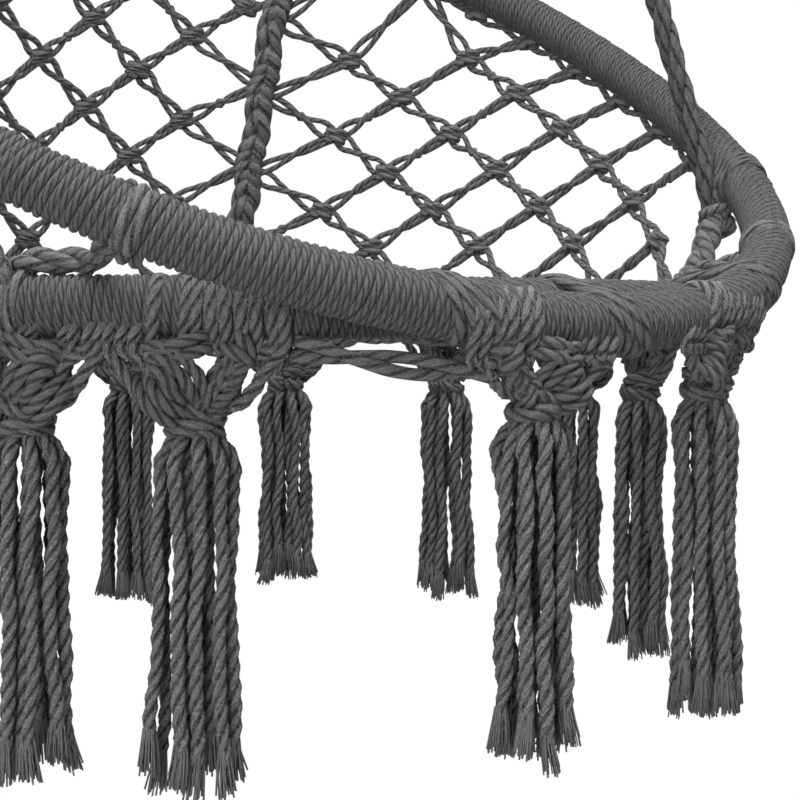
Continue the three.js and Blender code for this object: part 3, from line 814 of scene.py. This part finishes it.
# Tassels
# Twelve cords come over or under the hoop in threes. They are laid across in bundles, with a knot and a
# short braid at one side, and tied in one big knot. Below it their ends hang straight, each unlaid into
# a brush of yarn at its tip.
tassel_cord_radius = 0.0032
chain_width = 0.0140
chain_thickness = 0.0100
chain_cord_radius = 0.0028
chain_period = 0.026
cord_spacing = 0.0059
lane_spacing = 0.0032
path_step = 0.0024
yarn_radius = 0.00048
yarn_count = 36

# The outline of a cord's section, which bulges at its three strands.
strand_outline = bpy.data.curves.new("strands", "CURVE")
outline = strand_outline.splines.new("POLY")
outline.points.add(11)
outline.use_cyclic_u = True
for i, point in enumerate(outline.points):
    turn = 2 * math.pi * i / len(outline.points)
    reach = 0.99 + 0.16 * math.cos(3 * turn)
    point.co = (reach * math.cos(turn), reach * math.sin(turn), 0, 1)
strand_section = bpy.data.objects.new("strands", strand_outline)
bpy.context.collection.objects.link(strand_section)
tassel_cotton = cotton("tassel_cotton", painted_groove_shade, light=(0.248, 0.248, 0.260), relief=0.0014)
# The loose yarn's painted groove shade is far lighter than the cords' (0.07 against 0.006): painted light
# that makes up for the shade that falls among the thin yarns.
loose_yarn = cotton("loose_yarn", dark=(0.07, 0.07, 0.075), light=(0.235, 0.235, 0.246), relief=0.0002)


def crossed_knot(centre, axis, front, wide, deep, count, rng):
    """A square knot's working cords, which cross one over another in front of the bundle that they tie."""
    across = front.cross(axis).normalized()
    cords = []
    for k in range(count):
        lean = (0.34 if k % 2 else -0.34) + rng.uniform(-0.10, 0.10)
        place = centre + axis * 0.0058 * ((count - 1) / 2 - k)
        over = deep + 0.0014 * (k % 2)
        turned = wrap(place, axis + across * lean, front, wide, over, turns=1.0, pitch=0.0030)
        cords.append((turned, tassel_cord_radius * rng.uniform(1.0, 1.12)))
    return cords


def side_by_side(line, front, count, rng):
    """Cords that lie side by side along one smooth line."""
    middle_line = smooth_path(line, path_step)
    across = np.cross(np.gradient(middle_line, axis=0), np.array(front))
    across /= np.linalg.norm(across, axis=1)[:, None]
    cords = []
    for k in range(count):
        apart = cord_spacing * (k - (count - 1) / 2)
        laid = middle_line + across * apart + np.array(front) * 0.0010 * (k % 2)
        cords.append((laid, tassel_cord_radius * rng.uniform(0.86, 1.00)))
    return cords


def over_hoop(at, beside, lift, slant):
    """A cord's way round the hoop's outer side, from the angle below level at which it comes in."""
    points = []
    for step in range(7):
        share = step / 6
        below = lift + (66 - lift) * share
        reach = 0.0100 + 0.0032 * ease((below - lift) / 35) + 0.0036 * ease((below - 34) / 32)
        below = math.radians(below)
        points.append(at(beside + slant * (1 - share), reach * math.cos(below), -reach * math.sin(below)))
    points.append(at(beside * 0.98, 0.0074, -0.0200))
    return points


def to_knot(at, n, first_z, second_z):
    """A cord's two points between the hoop and the big knot, at the sides or in one of two middle lanes."""
    lane_out = 0.0050 + 0.0024 * math.cos(n * 2.4)
    if n < 2 or n > 9:
        side = -1 if n < 2 else 1
        inner = n if n < 2 else 11 - n
        first = at(side * (0.0350 - 0.0125 * inner), 0.0060, first_z * 1.05)
        second = at(side * (0.0225 - 0.0060 * inner), 0.0050, second_z * 1.14)
    elif n < 6:
        lane = lane_spacing * (n - 3.5)
        first = at(-0.0185 + lane, lane_out, first_z)
        second = at(-0.0090 + lane, lane_out, second_z * 1.04)
    else:
        lane = lane_spacing * (n - 7.5)
        first = at(0.0190 + lane, lane_out, first_z * 0.90)
        second = at(0.0100 + lane, lane_out, second_z)
    return [first, second]


def hanging_end(at, slot, knot_z, length, looseness, sway):
    """A cord's end below the big knot, which hangs straight but for a slow bend and a short one."""
    beside, out = slot
    points = []
    for i in range(1, 13):
        share = i / 12
        spread = 1.06 - 0.10 * math.sin(math.pi * share) + 0.10 * share
        free = ease(share * 6 + 0.62)
        bend = 0.0009 * math.sin(11 * share + 3 * sway[0]) + 0.0004 * math.sin(23 * share + 3 * sway[1])
        out_bend = 0.0009 * math.sin(10 * share + 3 * sway[2]) + 0.0004 * math.sin(25 * share + 3 * sway[3])
        place = beside * spread * free + 0.0030 * sway[4] * share + bend * looseness
        depth = out * spread * free + 0.0025 * sway[5] * share + out_bend * looseness
        points.append(at(place, depth, knot_z - 0.006 - share * (length - 0.010)))
    return points


def brush(path, n, away, rng):
    """The loose yarn of a cord's unlaid tip, which falls in three clusters, one for each strand."""
    tip = Vector(path[-1])
    above = Vector(path[-6])
    fall = (tip - Vector(path[-4])).normalized()
    yarns = []
    for k in range(yarn_count):
        turn = 2 * math.pi * (n + k) / 3 + rng.uniform(-0.85, 0.85)
        spread = Vector((math.cos(turn), math.sin(turn), 0))
        reach = tassel_cord_radius * 1.20 * math.sqrt(rng.uniform(0.08, 1))
        drop = rng.uniform(0.0030, 0.0095)
        loose = spread * reach * (1.1 + drop * rng.uniform(0, 60)) + away * drop * 10
        start = above + spread * reach * 0.70
        line = [start, tip - fall * 0.005 + spread * reach, tip + fall * drop + loose]
        yarns.append((smooth_path(line, 0.005), yarn_radius))
    return yarns


# Where the twelve cords cross the hoop, in threes, from one side of the tassel's middle to the other.
crossings = (
    (-0.0405, -0.0345, -0.0265),
    (-0.0200, -0.0060, 0.0005),
    (0.0095, 0.0155, 0.0225),
    (0.0285, 0.0360, 0.0415),
)
# The bundles laid across in front, each with its count of cords. Their points are given by how far they
# lie beside the tassel's middle, and by their share of the way from the hoop down to the big knot.
bundles = (
    (((0.0120, 0.28), (0.0010, 0.33), (-0.0110, 0.42), (-0.0215, 0.53)), 2),
    (((-0.0235, 0.50), (-0.0145, 0.46), (-0.0045, 0.62), (0.0020, 0.93)), 3),
    (((-0.0215, 0.58), (-0.0175, 0.75), (-0.0105, 0.88), (0.0010, 0.96)), 3),
)
bundle_outs = (0.0010, 0.0128, 0.0128, 0.0020)


def tassel(middle, outward, knot_drop, hang, hand, rng):
    """A tassel's cords, and the loose yarn at their tips."""
    sideways = Vector((-outward.y, outward.x, 0)) * hand
    up = Vector((0, 0, 1))

    def at(beside, out, rise):
        """A place beside, out from and above the hoop's middle."""
        return middle + sideways * beside + outward * out + up * rise

    # The heights of the big knot and of the two places where the cords above it are laid.
    knot_z = -knot_drop - middle.z
    first_z = knot_z * 0.46
    second_z = knot_z * 0.72
    outer_slots = [(2 * math.pi * k / 9, 0.0160, 0.0125) for k in range(9)]
    core_slots = [(2 * math.pi * k / 3, 0.0062, 0.0045) for k in range(3)]
    slots = [(wide * math.cos(turn), deep * math.sin(turn)) for turn, wide, deep in outer_slots + core_slots]
    slots.sort(key=lambda slot: slot[0] + rng.uniform(-0.004, 0.004))
    looseness = rng.uniform(0.8, 1.8)
    cords = []
    yarns = []
    for n, slot in enumerate(slots):
        beside = crossings[n // 3][n % 3] + rng.uniform(-0.0012, 0.0012)
        if n % 3 == 0:
            lift = -112 if n > 5 or rng.random() < 0.4 else 38
            slant = rng.uniform(-0.007, 0.007)
        points = over_hoop(at, beside, lift, slant) + to_knot(at, n, first_z, second_z)
        points.append(at(slot[0] * 0.56, slot[1] * 0.52, knot_z + 0.0035))
        points.append(at(slot[0] * 0.58, slot[1] * 0.56, knot_z - 0.0060))
        length = hang + rng.uniform(-0.011, 0.003)
        sway = [rng.uniform(-1, 1) for _ in range(6)]
        points += hanging_end(at, slot, knot_z, length, looseness, sway)
        path = smooth_path(points, path_step)
        unlaid = np.clip((np.arange(len(path)) - len(path) + 6) / 5, 0, 1)
        cords.append((path, tassel_cord_radius * rng.uniform(0.90, 1.08) * (1 - 0.32 * unlaid)))
        yarns += brush(path, n, at(*slot, 0) - middle, rng)

    for line, count in bundles:
        line = [at(beside, out, knot_z * share) for (beside, share), out in zip(line, bundle_outs)]
        cords += side_by_side(line, outward, count, rng)
    right_way = (at(0.0230, 0, first_z * 0.80) - at(0.0080, 0, second_z * 1.10)).normalized()
    cords += crossed_knot(at(0.0215, 0.0050, first_z * 0.80), right_way, outward, 0.0070, 0.0062, 2, rng)
    chain_top = at(0.0200, 0.0080, first_z * 0.95)
    chain_foot = at(0.0060, 0.0075, knot_z * 0.94)
    sizes = (chain_width, chain_thickness, chain_cord_radius, chain_period)
    chain = braid(chain_top, chain_foot, sideways, *sizes, rng.uniform(0, 6))
    cords += [(path, chain_cord_radius) for path in chain]
    cords += crossed_knot(at(0, 0, knot_z + 0.001), up, outward, 0.0112, 0.0092, 2, rng)
    under_knot = at(0, 0, knot_z - 0.0046)
    axis = up + sideways * 0.08
    last_turn = wrap(under_knot, axis, outward, 0.0110, 0.0088, turns=1.0, pitch=0.002)
    cords.append((last_turn, tassel_cord_radius))
    return cords, yarns


hangers = []
for azimuth, drop, hang in ((-8, 0.046, 0.164), (16.5, 0.040, 0.168)):
    _, back_middle, outward = pair_at(azimuth)
    hangers.append((back_middle, outward, drop, hang))
seat_knot_drop = 0.052
usual_hang = 0.162
seat_hangs = {-54: 0.158, -38: 0.165, 70: 0.172, 86: 0.152, 110: 0.155, 136: 0.148}
for azimuth in (*seat_hangs, 160, 184, 208.5, 233, 257.5, 282):
    middle = seat_hoop.at(azimuth)
    hangers.append((middle, middle.normalized(), seat_knot_drop, seat_hangs.get(azimuth, usual_hang)))
for number, hanger in enumerate(hangers, start=1):
    name = "tassel_%02d" % number
    cords, yarns = tassel(*hanger, 1 if number % 2 == 0 else -1, random.Random(60 + number))
    tassel_mesh = cord_mesh(name, cords, lay=0.027, swell=0.05, section=strand_section)
    place_piece(name + "_cords", tassel_mesh, "chair", tassel_cotton, [name])
    yarn_mesh = cord_mesh(name + "_yarn", yarns, lay=0.02, sides=4)
    place_piece(name + "_yarn", yarn_mesh, "chair", loose_yarn)
bpy.data.objects.remove(strand_section)


# Swag
# Two cords, twisted round each other, are carried across from one tassel's head to the next. They pass
# under the seat hoop, and then under the back hoop in front of it.
swag_from = -29.5
swag_to = -12.6
swag_cords = []
for n in range(2):
    path = []
    for i in range(31):
        share = i / 30
        seat_middle, back_middle, outward = pair_at(swag_from + (swag_to - swag_from) * share)
        middle = seat_middle.lerp(back_middle, share)
        middle.z = -0.0185 - 0.0130 * share - 0.001 * math.sin(math.pi * share)
        turn = math.pi * (n + 1.7 * share)
        rise = Vector((0, 0, 0.0036 * math.cos(turn)))
        path.append(middle + rise + outward * (0.004 + 0.003 * math.sin(turn)))
    swag_cords.append((path, tassel_cord_radius * 0.95))
swag_mesh = cord_mesh("swag", swag_cords, lay=0.035, sides=8, swell=0.06)
place_piece("swag_cords", swag_mesh, "chair", tassel_cotton, ["front_swag"])


# Crown
# The ropes' cords are doubled through the ring and gathered into a neck of twelve cords round six, which
# narrows at both ends. Seven turns of a thinner cord whip the neck.
loop_reach = ring_wire_radius + clearance + rope_radius
loop_centre_height = -0.0555
loop_foot_height = -0.1000
loop_spacing = 0.0042
neck_top = -0.0900
neck_length = 0.0620
outer_cords = 12
outer_reach = 0.0128
inner_cords = 6
inner_reach = 0.0062
whip_cord_radius = 0.0029
whip_reach = 0.0184
whip_top = -0.1010
whip_pitch = 0.0055
whip_turns = 7
whip_steps = 24
crown_cords = []
for n in range(4):
    beside = (n - 1.5) * loop_spacing
    reach = loop_reach + (0.0012 if n in (1, 2) else -0.0008)
    path = [Vector((beside, reach * 0.7, loop_foot_height))]
    for i in range(13):
        turn = math.pi * i / 12
        path.append(Vector((beside, reach * math.cos(turn), loop_centre_height + reach * math.sin(turn))))
    path.append(Vector((beside, -reach * 0.7, loop_foot_height)))
    crown_cords.append((smooth_path(path, 0.003), rope_cord_radius))
for n in range(outer_cords + inner_cords):
    reach, count = (outer_reach, outer_cords) if n < outer_cords else (inner_reach, inner_cords)
    turn = 2 * math.pi * n / count
    path = []
    for i in range(16):
        share = i / 15
        gather = 1 - 0.3 * (1 - ease(share * 5)) - 0.12 * ease(share * 4 - 3)
        bend = turn + 0.9 * share
        wide = reach * gather
        path.append(Vector((wide * math.cos(bend), wide * math.sin(bend), neck_top - neck_length * share)))
    crown_cords.append((path, rope_cord_radius))
crown_mesh = cord_mesh("crown", crown_cords, lay=0.040, sides=8, origin=(0, 0, 0))
place_piece("crown_cords", crown_mesh, "chair", rope_cotton, ["crown_loop"])

whip = []
for i in range(whip_turns * whip_steps + 1):
    turn = 2 * math.pi * i / whip_steps
    height = whip_top - whip_pitch * i / whip_steps
    whip.append(Vector((whip_reach * math.cos(turn), whip_reach * math.sin(turn), height)))
cords = [(whip, whip_cord_radius)]
whip_mesh = cord_mesh("whipping", cords, lay=0.045, sides=8, origin=(0, 0, 0))
place_piece("whipping_cord", whip_mesh, "chair", cover_cotton, ["crown_whipping"])


# Studio
# A pale floor well under the tassels, a white surround and large soft lamps. The camera stands close in
# front of the chair's left side, level with the seat.
pale_floor, tree, shader = plain_material("pale_floor", (0.5, 0.5, 0.5), 0.9)
bm = bmesh.new()
bmesh.ops.create_grid(bm, x_segments=1, y_segments=1, size=6)
bmesh.ops.translate(bm, verts=bm.verts, vec=(0, 0, -1.75))
floor_mesh = bpy.data.meshes.new("floor")
bm.to_mesh(floor_mesh)
bm.free()
floor_mesh.materials.append(pale_floor)
floor = bpy.data.objects.new("floor", floor_mesh)
bpy.context.collection.objects.link(floor)


def seen_directly(tree):
    """One where the camera, a reflection or a view through glass looks, and zero where light bounces."""
    rays = tree.nodes.new("ShaderNodeLightPath")
    seen = reckon(tree, "MAXIMUM", rays.outputs["Is Camera Ray"], rays.outputs["Is Glossy Ray"])
    return reckon(tree, "MAXIMUM", seen, rays.outputs["Is Transmission Ray"])


white = wire(tree, "ShaderNodeEmission", {"Color": (1, 1, 1, 1), "Strength": 1.0})
floor_mix = wire(
    tree, "ShaderNodeMixShader", {0: seen_directly(tree), 1: shader.outputs[0], 2: white.outputs[0]}
)
tree.links.new(floor_mix.outputs[0], tree.nodes["Material Output"].inputs["Surface"])

world = bpy.data.worlds.new("surround")
bpy.context.scene.world = world
world.use_nodes = True
tree = world.node_tree
background = tree.nodes["Background"]
background.inputs["Color"].default_value = (1, 1, 1, 1)
surround_light = 0.08
strength = reckon(tree, "MULTIPLY_ADD", seen_directly(tree), 1 - surround_light, surround_light)
tree.links.new(strength, background.inputs["Strength"])


def soft_lamp(name, place, size, power):
    """A square soft lamp that faces the chair."""
    lamp = bpy.data.lights.new(name, "AREA")
    lamp.shape = "SQUARE"
    lamp.size = size
    lamp.energy = power
    lamp_object = bpy.data.objects.new(name, lamp)
    lamp_object.location = place
    lamp_object.rotation_euler = (seat - place).to_track_quat("-Z", "Y").to_euler()
    bpy.context.collection.objects.link(lamp_object)


soft_lamp("overhead", Vector((-0.4, -0.65, 1.4)), size=2.0, power=116)
soft_lamp("left", Vector((-1.8, -1.2, -0.70)), size=0.9, power=21)
soft_lamp("right", Vector((2.0, -1.4, -0.4)), size=1.6, power=3.5)

# The focal length and the lens's axis are in pixels of the square picture, from its top left corner.
camera_azimuth = math.radians(-35.10)
camera_distance = 1.131
camera_drop = 0.0067
camera_yaw = math.radians(-7.319)
frame_pixels = 800
focal_pixels = 1830.95
axis_x = 462.46
axis_y = 321.40
camera = bpy.data.cameras.new("camera")
camera.sensor_width = 36
camera.lens = focal_pixels / frame_pixels * camera.sensor_width
camera.shift_x = (frame_pixels / 2 - axis_x) / frame_pixels
camera.shift_y = (axis_y - frame_pixels / 2) / frame_pixels
camera.clip_start = 0.01
camera.clip_end = 100
camera_object = bpy.data.objects.new("camera", camera)
towards = Vector((math.sin(camera_azimuth), -math.cos(camera_azimuth), 0))
camera_object.location = seat + towards * camera_distance - Vector((0, 0, camera_drop))
camera_object.rotation_euler = (math.pi / 2, 0, camera_azimuth + camera_yaw)
bpy.context.collection.objects.link(camera_object)
bpy.context.scene.camera = camera_object
bpy.context.scene.view_settings.view_transform = "Standard"
